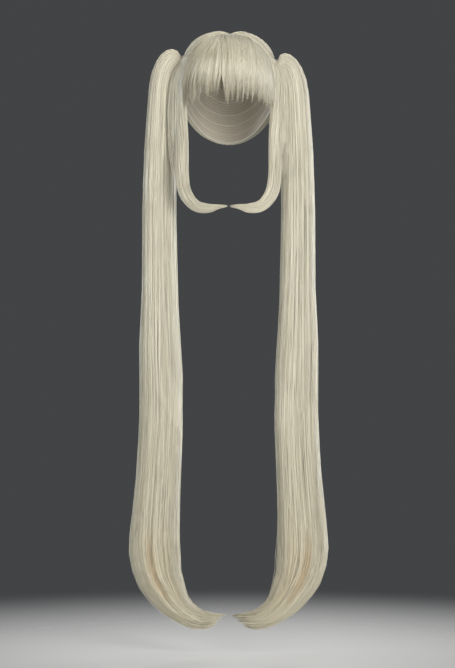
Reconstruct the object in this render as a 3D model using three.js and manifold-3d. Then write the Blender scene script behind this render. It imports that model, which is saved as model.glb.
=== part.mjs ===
// Long twin pigtail wig: a stretch net cap that carries straight pale hair. The hair is parted in the
// middle, combed to a tie above each ear and falls from there in two long pigtails that curl inwards at
// their ends. A full fringe covers the forehead, and a long lock hangs in front of each ear and turns in
// below the chin.
//
// Millimetres, +Z up. The wearer faces -Y, and left and right are as seen from in front of the wearer.
// The origin is where the crown of the head touches the inside of the cap.
import * as THREE from 'three';
import { mergeVertices } from 'three/addons/utils/BufferGeometryUtils.js';
import Module from 'manifold-3d';

// Head that the wig fits
const HEAD_HALF_BREADTH = 76;
const HEAD_FRONT = 93;
const HEAD_BACK = 98;
const HEAD_CROWN = 93;
const HEAD_LOWER = 120;
const HEAD_SQUARENESS = 2.4;

// Net cap
const CAP_WALL = 1.5;
const NAPE_DROP = 172;

// Air left between two pieces that touch on the real wig
const SEAT_GAP = 0.4;

// Hair combed over the cap to each side
const CROWN_HAIR = 10.5;
const CROWN_RIDGE = 0.1;
const PARTING_GAP = 0.8;
const EAR_FRONT_AZIMUTH = 76;

// Fringe
const FRINGE_HAIR = 5.5;
const FRINGE_LOCK_WIDTH = 17;
const FRINGE_DROP = 98;
const FRINGE_ROOT_PITCH = 15;
const FRINGE_ROOT_HALF_ARC = 42;
const FRINGE_HALF_ARC = 56;

// Locks in front of the ears
const SIDE_LOCK_WIDTH = 21.5;
const SIDE_LOCK_DEPTH = 12;
const SIDE_LOCK_RIDGE = 0.08;
const SIDE_LOCK_HANG = 209;
const SIDE_LOCK_FORE = 36;
const SIDE_LOCK_TIP_GAP = 1.6;

// Elastic ties, dressed a little higher on the left
const TIE_RADIUS = 13;
const TIE_CORD = 2.6;
const TIE_BACK = 5;
const TIE_DROP_LEFT = 47;
const TIE_DROP_RIGHT = 54;

// Pigtails. The end is the drop from the crown to their lowest hair, and out is how far each hangs from
// its tie.
const PIGTAIL_END = 1018;
const PIGTAIL_OUT_LEFT = 37.5;
const PIGTAIL_OUT_RIGHT = 36;
const PIGTAIL_RISE = 35;
const PIGTAIL_SHOULDER = 80;
const PIGTAIL_HALF_WIDTH = 41;
const PIGTAIL_HALF_DEPTH = 26;
const PIGTAIL_RIDGE = 0.05;
const PIGTAIL_TIP_GAP = 13;

// Fineness of the faceted surfaces
const CAP_COLUMNS = 30;
const CAP_ROWS = 8;
const PARTING_COLUMNS = 9;
const HAIRLINE_COLUMNS = 9;
const FRONT_COLUMNS = 6;
const CROWN_STEPS = 8;
const LOCK_SIDES = 6;
const FRINGE_STEPS = 7;
const SIDE_LOCK_SIDES = 10;
const SIDE_LOCK_STEPS = 30;
const PIGTAIL_SIDES = 20;
const ARCH_STEPS = 8;
const FALL_STEPS = 25;
const TIP_STEPS = 5;
const TIE_SIDES = 12;
const CORD_SIDES = 6;
const WELD = 1e-3;

// Small step along a path, as a share of it or of a row of its table, that gives its direction
const SHARE_STEP = 0.01;
const ROW_STEP = 0.1;

// Lower edge of the net cap from the middle of the forehead round to the nape, as shares of the nape's drop
const CAP_EDGE = [
  { azimuth: 0, drop: 0.34 },
  { azimuth: 32, drop: 0.37 },
  { azimuth: 56, drop: 0.5 },
  { azimuth: 73, drop: 0.66 },
  { azimuth: 92, drop: 0.6 },
  { azimuth: 116, drop: 0.74 },
  { azimuth: 146, drop: 0.93 },
  { azimuth: 180, drop: 1 },
];

// Depth of the combed hair from its outline, at 0, to the tie, at 1
const CROWN_SWELL = [
  { at: 0, depth: 0.42 },
  { at: 0.12, depth: 0.97 },
  { at: 0.3, depth: 1 },
  { at: 0.7, depth: 0.88 },
  { at: 1, depth: 0.76 },
];

// Locks of the fringe. Root and tip are shares of its two half arcs, drop is a share of the fringe's drop
// and width of a lock's, and raise lifts a lock over its neighbours by a share of its own depth.
const FRINGE_LOCKS = [
  { root: -1, tip: -1, drop: 1.1, width: 1, raise: 0.3 },
  { root: -0.82, tip: -0.85, drop: 0.99, width: 1, raise: 0 },
  { root: -0.64, tip: -0.7, drop: 0.9, width: 0.95, raise: 0.25 },
  { root: -0.48, tip: -0.55, drop: 0.84, width: 0.95, raise: 0 },
  { root: -0.32, tip: -0.4, drop: 0.87, width: 0.95, raise: 0.2 },
  { root: -0.17, tip: -0.23, drop: 0.89, width: 0.95, raise: 0 },
  { root: -0.08, tip: -0.03, drop: 1.09, width: 0.85, raise: 0.5 },
  { root: 0.1, tip: 0.12, drop: 0.94, width: 1, raise: 0 },
  { root: 0.27, tip: 0.28, drop: 0.96, width: 1, raise: 0.2 },
  { root: 0.44, tip: 0.44, drop: 0.98, width: 1, raise: 0 },
  { root: 0.61, tip: 0.61, drop: 1.02, width: 1, raise: 0.25 },
  { root: 0.79, tip: 0.79, drop: 1.05, width: 1, raise: 0 },
  { root: 1, tip: 0.97, drop: 1.1, width: 1, raise: 0.3 },
];
const FRINGE_TAPER = [
  { at: 0, width: 0.9, depth: 0.6 },
  { at: 0.25, width: 1, depth: 1 },
  { at: 0.6, width: 1.06, depth: 1 },
  { at: 0.86, width: 0.88, depth: 0.8 },
  { at: 1, width: 0.4, depth: 0.25 },
];

// Section of a fringe lock from one side to the other
const LOCK_SECTION = [
  { across: -1, height: 0.5 },
  { across: -0.45, height: 1 },
  { across: 0.45, height: 1 },
  { across: 1, height: 0.5 },
];

// Side lock while it lies on the head
const TEMPLE_PATH = [
  { azimuth: 69, polar: 46, width: 0.5, depth: 0.5 },
  { azimuth: 70, polar: 60, width: 0.8, depth: 0.65 },
  { azimuth: 71, polar: 74, width: 0.95, depth: 0.75 },
  { azimuth: 71, polar: 87, width: 1, depth: 0.85 },
];

// Side lock as it hangs. Out is a share of its distance from the middle at the temple, drop and fore are
// shares of its own hang and of how far it comes forward, and face turns it from the temple to the front.
const HANG_PATH = [
  { out: 1, drop: 0.22, fore: 0.1, face: 0.35, width: 1, depth: 1 },
  { out: 0.995, drop: 0.5, fore: 0.3, face: 0.8, width: 1, depth: 1 },
  { out: 0.99, drop: 0.72, fore: 0.5, face: 1, width: 1, depth: 1 },
  { out: 0.92, drop: 0.87, fore: 0.66, face: 1, width: 0.98, depth: 0.95 },
  { out: 0.71, drop: 0.97, fore: 0.8, face: 1, width: 0.86, depth: 0.85 },
  { out: 0.44, drop: 0.995, fore: 0.92, face: 1, width: 0.7, depth: 0.66 },
  { out: 0.21, drop: 0.983, fore: 0.98, face: 1, width: 0.36, depth: 0.38 },
  { out: 0, drop: 0.978, fore: 1, face: 1, width: 0.11, depth: 0.15 },
];

// Arch of a pigtail out of its tie, for the hair at the bottom and at the top of the tie: shares of the
// pigtail's rise and shoulder, and how far the hair is turned up from the tie's axis
const ARCH = {
  low: { rise: 0.14, shoulder: 0.2, lift: 0 },
  high: { rise: 1, shoulder: 1, lift: 0.62 },
};

// Pigtail below its arch. Drop is a share of the way from the tie to the end, out a share of the way from
// the tip to the line that the pigtail hangs on, and the last two rows are the way of its longest hair.
const PIGTAIL_FALL = [
  { drop: 0.062, out: 0.951, width: 0.58, depth: 0.8 },
  { drop: 0.149, out: 0.985, width: 0.65, depth: 0.92 },
  { drop: 0.254, out: 1, width: 0.69, depth: 0.97 },
  { drop: 0.376, out: 0.993, width: 0.71, depth: 1 },
  { drop: 0.481, out: 0.993, width: 0.83, depth: 1 },
  { drop: 0.586, out: 0.963, width: 0.89, depth: 1 },
  { drop: 0.691, out: 1, width: 0.89, depth: 1 },
  { drop: 0.761, out: 1.038, width: 0.95, depth: 1 },
  { drop: 0.813, out: 1.064, width: 1, depth: 0.98 },
  { drop: 0.851, out: 1.067, width: 1.03, depth: 0.93 },
  { drop: 0.889, out: 1.011, width: 0.935, depth: 0.86 },
  { drop: 0.913, out: 0.914, width: 0.8, depth: 0.77 },
  { drop: 0.937, out: 0.791, width: 0.64, depth: 0.68 },
  { drop: 0.953, out: 0.642, width: 0.53, depth: 0.6 },
  { drop: 0.967, out: 0.403, width: 0.48, depth: 0.5 },
  { drop: 0.967, out: 0.173, width: 0.32, depth: 0.38 },
  { drop: 0.962, out: 0, width: 0.2, depth: 0.24 },
];
const TRUNK_END = 14;

// Pointed ends of a pigtail: place across it from the inside of the curl to the outside and from its back
// to its front, the rows of the fall that the end runs between, and its share of the pigtail's section
const PIGTAIL_TIPS = [
  { across: -0.74, fore: -0.1, start: 12.6, stop: 16, share: 0.34 },
  { across: -0.46, fore: 0.4, start: 12.6, stop: 15.75, share: 0.34 },
  { across: -0.16, fore: -0.4, start: 12.5, stop: 15.45, share: 0.34 },
  { across: 0.16, fore: 0.4, start: 12.4, stop: 15.1, share: 0.34 },
  { across: 0.46, fore: -0.35, start: 12.3, stop: 14.8, share: 0.34 },
  { across: 0.76, fore: 0.1, start: 12.2, stop: 14.45, share: 0.32 },
];
const TIP_TAPER = [
  { at: 0, share: 0.8 },
  { at: 0.55, share: 1 },
  { at: 0.85, share: 0.6 },
  { at: 1, share: 0.1 },
];

const UP = new THREE.Vector3(0, 0, 1);
const FORWARD = new THREE.Vector3(0, -1, 0);
const { degToRad, radToDeg, lerp, clamp } = THREE.MathUtils;
const count = (length, make) => Array.from({ length }, (_, i) => make(i));

// Room that a piece leaves for a lock: none, all round it, or with nothing over it either
const NO_ROOM = { beside: 0, over: 0 };
const CLOSE_ROOM = { beside: SEAT_GAP, over: SEAT_GAP };
const OPEN_ROOM = { beside: SEAT_GAP, over: 2 * CROWN_HAIR };

const wasm = await Module();
wasm.setup();

// Value of a table's column at any place between its rows, on a smooth curve through them. The place is
// given in the key column, or in rows.
function readTable(rows, place, column, key = null) {
  const last = rows.length - 1;
  const where = (i) => (key ? rows[i][key] : i);
  let i = 0;
  while (i < last - 1 && where(i + 1) < place) i += 1;
  const slope = (k) => {
    const [before, after] = [Math.max(0, k - 1), Math.min(last, k + 1)];
    return (rows[after][column] - rows[before][column]) / (where(after) - where(before));
  };
  const span = where(i + 1) - where(i);
  const rise = rows[i + 1][column] - rows[i][column];
  const t = clamp((place - where(i)) / span, 0, 1);
  const bend = (1 - t) * (slope(i) * span - rise) - t * (slope(i + 1) * span - rise);
  return rows[i][column] + rise * t + t * (1 - t) * bend;
}

// Point of the head form in a direction from its centre, moved outwards by lift
function onHead(direction, lift) {
  const round = 2 / HEAD_SQUARENESS;
  const flat = Math.hypot(direction.x, direction.y);
  const spread = flat > 0 ? flat ** round / flat : 0;
  const length = direction.y < 0 ? HEAD_FRONT : HEAD_BACK;
  const height = direction.z > 0 ? HEAD_CROWN : HEAD_LOWER;
  const x = direction.x * spread;
  const y = direction.y * spread;
  const z = Math.sign(direction.z) * Math.abs(direction.z) ** round;
  const level = Math.hypot(x, y) ** (HEAD_SQUARENESS - 2);
  const normal = new THREE.Vector3(
    (level * x) / HEAD_HALF_BREADTH,
    (level * y) / length,
    (Math.sign(z) * Math.abs(z) ** (HEAD_SQUARENESS - 1)) / height,
  ).normalize();
  const point = new THREE.Vector3(x * HEAD_HALF_BREADTH, y * length, z * height - HEAD_CROWN);
  return { point: point.addScaledVector(normal, lift), normal };
}

// Direction from its bearing round the head, 0 at the forehead, and its angle from the crown
function fromCrown(azimuth, polar, sign = 1) {
  const [a, p] = [degToRad(azimuth), degToRad(polar)];
  return new THREE.Vector3(sign * Math.sin(a) * Math.sin(p), -Math.cos(a) * Math.sin(p), Math.cos(p));
}

// Angle from the crown at which the head form has dropped by a given height
function polarAtDrop(drop) {
  const rise = (HEAD_CROWN - drop) / (drop < HEAD_CROWN ? HEAD_CROWN : HEAD_LOWER);
  return radToDeg(Math.acos(Math.sign(rise) * Math.abs(rise) ** (HEAD_SQUARENESS / 2)));
}

function capEdgePolar(azimuth) {
  const fold = azimuth > 180 ? 360 - azimuth : azimuth;
  return polarAtDrop(NAPE_DROP * readTable(CAP_EDGE, fold, 'drop', 'azimuth'));
}

// Direction part of the way along the great circle between two others
function between(from, to, share) {
  const turn = new THREE.Quaternion().setFromUnitVectors(from, to);
  return from.clone().applyQuaternion(new THREE.Quaternion().slerp(turn, share));
}

// Faces between two neighbouring rows of points, all round or from end to end
function strip(rowA, rowB, round = true) {
  return count(round ? rowA.length : rowA.length - 1, (j) => {
    const k = (j + 1) % rowA.length;
    return [
      [rowA[j], rowB[j], rowB[k]],
      [rowA[j], rowB[k], rowA[k]],
    ];
  }).flat();
}

// Closed solid from triangles that all turn the same way. Those that shrink to a line are left out.
function solidFrom(faces) {
  const soup = new THREE.BufferGeometry().setFromPoints(faces.flat());
  const merged = mergeVertices(soup, WELD);
  const volume = faces.reduce((sum, [a, b, c]) => sum + a.dot(b.clone().cross(c)), 0);
  const index = merged.index.array;
  const triangles = [];
  for (let i = 0; i < index.length; i += 3) {
    const [a, b, c] = index.slice(i, i + 3);
    if (a !== b && b !== c && c !== a) triangles.push(...(volume > 0 ? [a, b, c] : [a, c, b]));
  }
  const vertProperties = merged.attributes.position.array;
  const triVerts = new Uint32Array(triangles);
  return new wasm.Manifold(new wasm.Mesh({ numProp: 3, vertProperties, triVerts }));
}

// Solid through rings of points, closed at both ends on their middles
function loft(rings) {
  const middle = (ring) => {
    const centre = new THREE.Vector3();
    ring.forEach((corner) => centre.addScaledVector(corner, 1 / ring.length));
    return ring.map(() => centre);
  };
  const rows = [middle(rings[0]), ...rings, middle(rings[rings.length - 1])];
  return solidFrom(rows.slice(1).flatMap((row, i) => strip(rows[i], row)));
}

// Solid between an outer and an inner sheet of rows. A round sheet starts in a point and ends in a rim.
function slab(outer, inner, round) {
  const faces = outer.slice(1).flatMap((row, i) => [
    ...strip(outer[i], row, round),
    ...strip(inner[i + 1], inner[i], round),
  ]);
  const rim = (sheet) => {
    const [first, last] = [sheet[0], sheet[sheet.length - 1]];
    const inside = sheet.slice(1, -1);
    const right = inside.map((row) => row[row.length - 1]);
    const left = inside.map((row) => row[0]).reverse();
    return round ? last : [...first, ...right, ...[...last].reverse(), ...left];
  };
  const wall = round ? strip(rim(outer), rim(inner)) : strip(rim(inner), rim(outer));
  return solidFrom([...faces, ...wall]);
}

const fuse = (solids) => solids.reduce((sum, solid) => sum.add(solid));

// Rings along a row of stations. Each has a centre, a direction that its lock faces, and half sizes, and
// ridges make every second corner stand out. A lock's room is the space that its neighbours leave free: the
// gap beside it, and over it too.
function lockRings(stations, sides, ridge = 0, room = NO_ROOM) {
  return stations.map(({ centre, face, halfWidth, halfDepth }, i) => {
    const before = stations[Math.max(0, i - 1)].centre;
    const after = stations[Math.min(stations.length - 1, i + 1)].centre;
    const along = after.clone().sub(before).normalize();
    const across = along.clone().cross(face).normalize();
    const out = across.clone().cross(along);
    return count(sides, (j) => {
      const angle = (2 * Math.PI * j) / sides;
      const stand = 1 + (j % 2 ? -ridge : ridge);
      return centre
        .clone()
        .addScaledVector(across, (halfWidth * stand + room.beside) * Math.cos(angle))
        .addScaledVector(out, (halfDepth * stand + room.over) * Math.sin(angle));
    });
  });
}

// One row of points round the head: at share 0 they meet at the crown, at 1 they are the cap's edge and
// at 2 they meet again below the chin
function headRow(share, lift) {
  return count(CAP_COLUMNS, (j) => {
    const azimuth = (360 * j) / CAP_COLUMNS;
    const edge = capEdgePolar(azimuth);
    const polar = share < 1 ? edge * share : lerp(edge, 180, share - 1);
    return onHead(fromCrown(azimuth, polar), lift).point;
  });
}

// Stretch net cap, a thin dome from the crown to the hairline
function netCap() {
  const sheet = (lift) => count(CAP_ROWS + 1, (i) => headRow(i / CAP_ROWS, lift));
  return slab(sheet(CAP_WALL), sheet(0), true);
}

// Whole head with the cap on it and the room that hair leaves round them
function cappedHead() {
  const rows = count(2 * CAP_ROWS + 1, (i) => headRow(i / CAP_ROWS, CAP_WALL + SEAT_GAP));
  return solidFrom(rows.slice(1).flatMap((row, i) => strip(rows[i], row)));
}

// Where a lock of the fringe starts and ends, and the directions between
function fringeRoot(share) {
  const side = degToRad(FRINGE_ROOT_HALF_ARC * share);
  const pitch = degToRad(FRINGE_ROOT_PITCH * (1 + Math.abs(share) / 2));
  return new THREE.Vector3(
    Math.sin(side),
    -Math.cos(side) * Math.sin(pitch),
    Math.cos(side) * Math.cos(pitch),
  );
}

function fringeTip(share, drop) {
  return fromCrown(FRINGE_HALF_ARC * share, polarAtDrop(FRINGE_DROP * drop));
}

// One lock of the fringe, combed forward from the parting and down over the forehead. It is low along its
// sides, where it joins its neighbours, and reaches down into the head, which is cut out of it.
function fringeLock(lock, room) {
  const root = fringeRoot(lock.root);
  const tip = fringeTip(lock.tip, lock.drop);
  const sheet = (liftOf) =>
    count(FRINGE_STEPS + 1, (i) => {
      const at = lerp(-room.beside / FRINGE_DROP, 1 + room.beside / FRINGE_DROP, i / FRINGE_STEPS);
      const here = between(root, tip, at);
      const { normal } = onHead(here, 0);
      const along = between(root, tip, at + SHARE_STEP).sub(here).normalize();
      const sideways = along.cross(normal).normalize();
      const halfWidth = (FRINGE_LOCK_WIDTH / 2) * lock.width * readTable(FRINGE_TAPER, at, 'width', 'at');
      const stand = readTable(FRINGE_TAPER, at, 'depth', 'at') + lock.raise * Math.sin(Math.PI * at);
      return LOCK_SECTION.map(({ across, height }) => {
        const aside = ((halfWidth + room.beside) * across) / HEAD_FRONT;
        const direction = here.clone().addScaledVector(sideways, aside).normalize();
        return onHead(direction, liftOf(FRINGE_HAIR * stand * height)).point;
      });
    });
  const outer = sheet((height) => CAP_WALL + SEAT_GAP + height + room.over);
  const inner = sheet(() => -FRINGE_HAIR / 2);
  return slab(outer, inner, false);
}

const fringeHair = (room) => fuse(FRINGE_LOCKS.map((lock) => fringeLock(lock, room)));

// Stations of a side lock: down over the temple, past the jaw and in below the chin
function sideLockStations(side) {
  const temple = TEMPLE_PATH.map((row) => {
    const halfDepth = (SIDE_LOCK_DEPTH / 2) * row.depth;
    const direction = fromCrown(row.azimuth, row.polar, side.sign);
    const { point, normal } = onHead(direction, CAP_WALL + SEAT_GAP + halfDepth);
    return { centre: point, face: normal, halfDepth, halfWidth: (SIDE_LOCK_WIDTH / 2) * row.width };
  });
  const from = temple[temple.length - 1];
  const tip = (side.sign * SIDE_LOCK_TIP_GAP) / 2;
  const hang = HANG_PATH.map((row) => ({
    centre: new THREE.Vector3(
      lerp(tip, from.centre.x, row.out),
      from.centre.y - SIDE_LOCK_FORE * row.fore,
      from.centre.z - SIDE_LOCK_HANG * row.drop,
    ),
    face: from.face.clone().lerp(FORWARD, row.face).normalize(),
    halfDepth: (SIDE_LOCK_DEPTH / 2) * row.depth,
    halfWidth: (SIDE_LOCK_WIDTH / 2) * row.width,
  }));
  return [...temple, ...hang];
}

function sideLockHair(side, room) {
  const knots = sideLockStations(side);
  const path = new THREE.CatmullRomCurve3(knots.map((knot) => knot.centre));
  const stations = count(SIDE_LOCK_STEPS + 1, (i) => {
    const place = ((knots.length - 1) * i) / SIDE_LOCK_STEPS;
    const k = Math.min(Math.floor(place), knots.length - 2);
    return {
      centre: path.getPoint(i / SIDE_LOCK_STEPS),
      face: knots[k].face.clone().lerp(knots[k + 1].face, place - k).normalize(),
      halfWidth: readTable(knots, place, 'halfWidth'),
      halfDepth: readTable(knots, place, 'halfDepth'),
    };
  });
  return loft(lockRings(stations, SIDE_LOCK_SIDES, SIDE_LOCK_RIDGE, room));
}

// Direction in which the hair of one side is gathered
function tieDirection(side) {
  const polar = polarAtDrop(side.tieDrop);
  const reach = HEAD_BACK * Math.sin(degToRad(polar)) ** (2 / HEAD_SQUARENESS);
  return fromCrown(90 + radToDeg(Math.asin(TIE_BACK / reach)), polar, side.sign);
}

// Outline of the hair combed to one side: back along the parting, round the hairline to the ear and up
// behind the fringe
function crownOutline(side) {
  const pitched = (pitch) => fromCrown(180, pitch);
  const nape = capEdgePolar(180);
  const start = pitched(-FRINGE_ROOT_PITCH);
  const ear = fromCrown(EAR_FRONT_AZIMUTH, capEdgePolar(EAR_FRONT_AZIMUTH), side.sign);
  const hairline = (i) => {
    const azimuth = lerp(180, EAR_FRONT_AZIMUTH, i / HAIRLINE_COLUMNS);
    return fromCrown(azimuth, capEdgePolar(azimuth), side.sign);
  };
  return [
    ...count(PARTING_COLUMNS, (i) => pitched(lerp(-FRINGE_ROOT_PITCH, nape, i / PARTING_COLUMNS))),
    ...count(HAIRLINE_COLUMNS, hairline),
    ...count(FRONT_COLUMNS, (i) => between(ear, start, i / FRONT_COLUMNS)),
  ];
}

// Hair of one side, combed over the cap from its outline to the tie in shallow locks
function crownHair(side, grow) {
  const outline = crownOutline(side);
  const gather = tieDirection(side);
  const sheet = (depth) =>
    count(CROWN_STEPS + 1, (i) => {
      const at = 1 - i / CROWN_STEPS;
      return outline.map((edge, j) => {
        const ridge = (j % 2 ? -CROWN_RIDGE : CROWN_RIDGE) * Math.sin(Math.PI * at);
        const swell = readTable(CROWN_SWELL, at, 'depth', 'at') * (1 + ridge);
        const { point } = onHead(between(edge, gather, at), CAP_WALL + SEAT_GAP + depth * swell + grow);
        point.x += (side.sign * PARTING_GAP) / 2;
        return point;
      });
    });
  return slab(sheet(CROWN_HAIR), sheet(-CROWN_HAIR), true);
}

// Middle and axis of a tie, which is pressed a little into the gathered hair
function tieSeat(side) {
  const depth = CROWN_HAIR * CROWN_SWELL[CROWN_SWELL.length - 1].depth;
  const { point, normal } = onHead(tieDirection(side), CAP_WALL + SEAT_GAP + depth + TIE_CORD / 2);
  return { middle: point, axis: normal, top: UP.clone().projectOnPlane(normal).normalize() };
}

// Covered elastic ring round the root of a pigtail
function tieRing(side, grow) {
  const { middle, axis } = tieSeat(side);
  const section = count(CORD_SIDES, (i) => {
    const angle = (2 * Math.PI * i) / CORD_SIDES;
    const radius = TIE_CORD + grow;
    return new THREE.Vector2(TIE_RADIUS + radius * Math.cos(angle), radius * Math.sin(angle));
  });
  const turn = new THREE.Quaternion().setFromUnitVectors(new THREE.Vector3(0, 1, 0), axis);
  const ring = new THREE.LatheGeometry([...section, section[0]], TIE_SIDES);
  ring.applyQuaternion(turn).translate(middle.x, middle.y, middle.z);
  const corners = ring.toNonIndexed().attributes.position;
  const corner = (i) => new THREE.Vector3().fromBufferAttribute(corners, i);
  return solidFrom(count(corners.count / 3, (i) => [corner(3 * i), corner(3 * i + 1), corner(3 * i + 2)]));
}

// Section of a pigtail at a place in the rows of its fall
function fallSection(side, place) {
  const tip = (side.sign * PIGTAIL_TIP_GAP) / 2;
  const { middle } = tieSeat(side);
  const line = middle.x + side.sign * side.out;
  return {
    centre: new THREE.Vector3(
      lerp(tip, line, readTable(PIGTAIL_FALL, place, 'out')),
      middle.y,
      lerp(middle.z, -PIGTAIL_END, readTable(PIGTAIL_FALL, place, 'drop')),
    ),
    face: FORWARD,
    halfWidth: PIGTAIL_HALF_WIDTH * readTable(PIGTAIL_FALL, place, 'width'),
    halfDepth: PIGTAIL_HALF_DEPTH * readTable(PIGTAIL_FALL, place, 'depth'),
  };
}

// Rings of a pigtail's arch: the hair leaves the tie along its axis, rises and turns over into the fall
function archRings(side, shoulder) {
  const { middle, axis, top } = tieSeat(side);
  const radius = (TIE_RADIUS - TIE_CORD) * Math.cos(Math.PI / TIE_SIDES) - SEAT_GAP;
  const root = (reach) =>
    count(PIGTAIL_SIDES, (j) => {
      const angle = (2 * Math.PI * j) / PIGTAIL_SIDES;
      return middle
        .clone()
        .addScaledVector(axis, reach)
        .addScaledVector(top, -side.sign * radius * Math.cos(angle))
        .addScaledVector(FORWARD, radius * Math.sin(angle));
    });
  const neck = root(TIE_CORD + SEAT_GAP);
  const ways = neck.map((from, j) => {
    const high = (1 - side.sign * Math.cos((2 * Math.PI * j) / PIGTAIL_SIDES)) / 2;
    const share = (name) => lerp(ARCH.low[name], ARCH.high[name], high);
    const leave = axis.clone().lerp(UP, share('lift')).normalize();
    const rise = from.clone().addScaledVector(leave, PIGTAIL_RISE * share('rise'));
    const turn = shoulder[j].clone().addScaledVector(UP, PIGTAIL_SHOULDER * share('shoulder'));
    return new THREE.CubicBezierCurve3(from, rise, turn, shoulder[j]);
  });
  const arch = count(ARCH_STEPS - 1, (i) => ways.map((way) => way.getPoint((i + 1) / ARCH_STEPS)));
  return [root(-TIE_CORD - CROWN_HAIR / 3), neck, ...arch];
}

// One pointed end of a pigtail
function pigtailTip(side, tip) {
  const stations = count(TIP_STEPS + 1, (i) => {
    const at = i / TIP_STEPS;
    const place = lerp(tip.start, tip.stop, at);
    const { centre, halfWidth, halfDepth } = fallSection(side, place);
    const [before, after] = [place - ROW_STEP, place + ROW_STEP].map((row) => fallSection(side, row).centre);
    const outward = after.sub(before).normalize().cross(FORWARD).multiplyScalar(-side.sign);
    const taper = tip.share * readTable(TIP_TAPER, at, 'share', 'at');
    return {
      centre: centre
        .addScaledVector(outward, halfWidth * tip.across)
        .addScaledVector(FORWARD, halfDepth * tip.fore),
      face: FORWARD,
      halfWidth: halfWidth * taper,
      halfDepth: halfDepth * taper,
    };
  });
  return loft(lockRings(stations, LOCK_SIDES));
}

// Pigtail from its root in the tie to its pointed ends
function pigtailHair(side) {
  const stations = count(FALL_STEPS + 1, (i) => fallSection(side, (TRUNK_END * i) / FALL_STEPS));
  const fall = lockRings(stations, PIGTAIL_SIDES, PIGTAIL_RIDGE);
  const trunk = loft([...archRings(side, fall[0]), ...fall]);
  return fuse([trunk, ...PIGTAIL_TIPS.map((tip) => pigtailTip(side, tip))]);
}

const net = new THREE.MeshStandardMaterial({ color: 0xd8d0bc, roughness: 0.9, metalness: 0 });
const hair = new THREE.MeshStandardMaterial({ color: 0xcdc7b2, roughness: 0.45, metalness: 0 });
const elastic = new THREE.MeshStandardMaterial({ color: 0xcbb9a6, roughness: 0.85, metalness: 0 });

function piece(name, solid, material) {
  const { vertProperties, triVerts } = solid.getMesh();
  const geometry = new THREE.BufferGeometry();
  geometry.setAttribute('position', new THREE.BufferAttribute(vertProperties, 3));
  geometry.setIndex(new THREE.BufferAttribute(triVerts, 1));
  geometry.computeVertexNormals();
  const mesh = new THREE.Mesh(geometry, material);
  mesh.name = name;
  return mesh;
}

const head = cappedHead();
const fringe = fringeHair(NO_ROOM).subtract(head);

// Dressed hair of one side. Each piece leaves room for those that lie under or beside it.
function dressedSide(side) {
  const sideLock = sideLockHair(side, NO_ROOM).subtract(head).subtract(fringeHair(CLOSE_ROOM));
  const front = fuse([fringeHair(OPEN_ROOM), sideLockHair(side, OPEN_ROOM)]);
  const crown = crownHair(side, 0).subtract(head).subtract(front);
  const crownRoom = crownHair(side, SEAT_GAP);
  const pigtail = pigtailHair(side).subtract(crownRoom).subtract(tieRing(side, SEAT_GAP));
  const dressed = new THREE.Group();
  dressed.add(
    piece(`crown_${side.name}`, crown, hair),
    piece(`side_lock_${side.name}`, sideLock, hair),
    piece(`tie_${side.name}`, tieRing(side, 0).subtract(crownRoom), elastic),
    piece(`pigtail_${side.name}`, pigtail, hair),
  );
  return dressed;
}

const wig = new THREE.Group();
wig.add(
  piece('net_cap', netCap(), net),
  piece('fringe', fringe, hair),
  dressedSide({ name: 'left', sign: -1, tieDrop: TIE_DROP_LEFT, out: PIGTAIL_OUT_LEFT }),
  dressedSide({ name: 'right', sign: 1, tieDrop: TIE_DROP_RIGHT, out: PIGTAIL_OUT_RIGHT }),
);

export default wig;
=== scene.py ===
import math

import bmesh
import bpy
import numpy as np
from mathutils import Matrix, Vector


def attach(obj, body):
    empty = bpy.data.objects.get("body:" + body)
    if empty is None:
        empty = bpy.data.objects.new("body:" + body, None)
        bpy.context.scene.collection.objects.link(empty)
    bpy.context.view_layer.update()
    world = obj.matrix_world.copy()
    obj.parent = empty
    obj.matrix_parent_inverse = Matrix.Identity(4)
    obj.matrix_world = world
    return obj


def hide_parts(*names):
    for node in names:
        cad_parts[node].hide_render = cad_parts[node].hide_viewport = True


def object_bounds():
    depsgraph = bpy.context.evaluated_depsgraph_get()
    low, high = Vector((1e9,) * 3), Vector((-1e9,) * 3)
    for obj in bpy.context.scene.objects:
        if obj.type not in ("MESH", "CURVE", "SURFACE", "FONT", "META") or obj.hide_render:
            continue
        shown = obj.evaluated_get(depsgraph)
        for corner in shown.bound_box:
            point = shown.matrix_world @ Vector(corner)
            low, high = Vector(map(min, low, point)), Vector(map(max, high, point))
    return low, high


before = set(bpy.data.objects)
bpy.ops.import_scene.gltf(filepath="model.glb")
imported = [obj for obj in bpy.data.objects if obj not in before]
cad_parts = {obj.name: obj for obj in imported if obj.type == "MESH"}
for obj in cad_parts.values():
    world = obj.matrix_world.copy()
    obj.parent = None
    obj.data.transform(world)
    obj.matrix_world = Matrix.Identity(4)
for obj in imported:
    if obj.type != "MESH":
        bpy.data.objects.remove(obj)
cad_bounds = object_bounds()

# Studio: the wig hangs over a round pale floor whose rim fades into a plain grey surround. A large soft
# lamp lights it from the front right, weaker ones from the left, the brow and above, and tall strips at
# its sides and a soft lamp behind it draw the bright rims of the hair.
MM = 0.001
PIXEL = 1.7 * MM
FRAME_PIXELS = (455, 668)
CROWN_PIXEL = (228.5, 38)
CAMERA_DISTANCE = 4.0
SENSOR_MM = 36
FLOOR_BELOW = 45 * MM
FLOOR_RADIUS = 1.5
FLOOR_FADE = 0.55
SURROUND = (0.055, 0.057, 0.06, 1)

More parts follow.
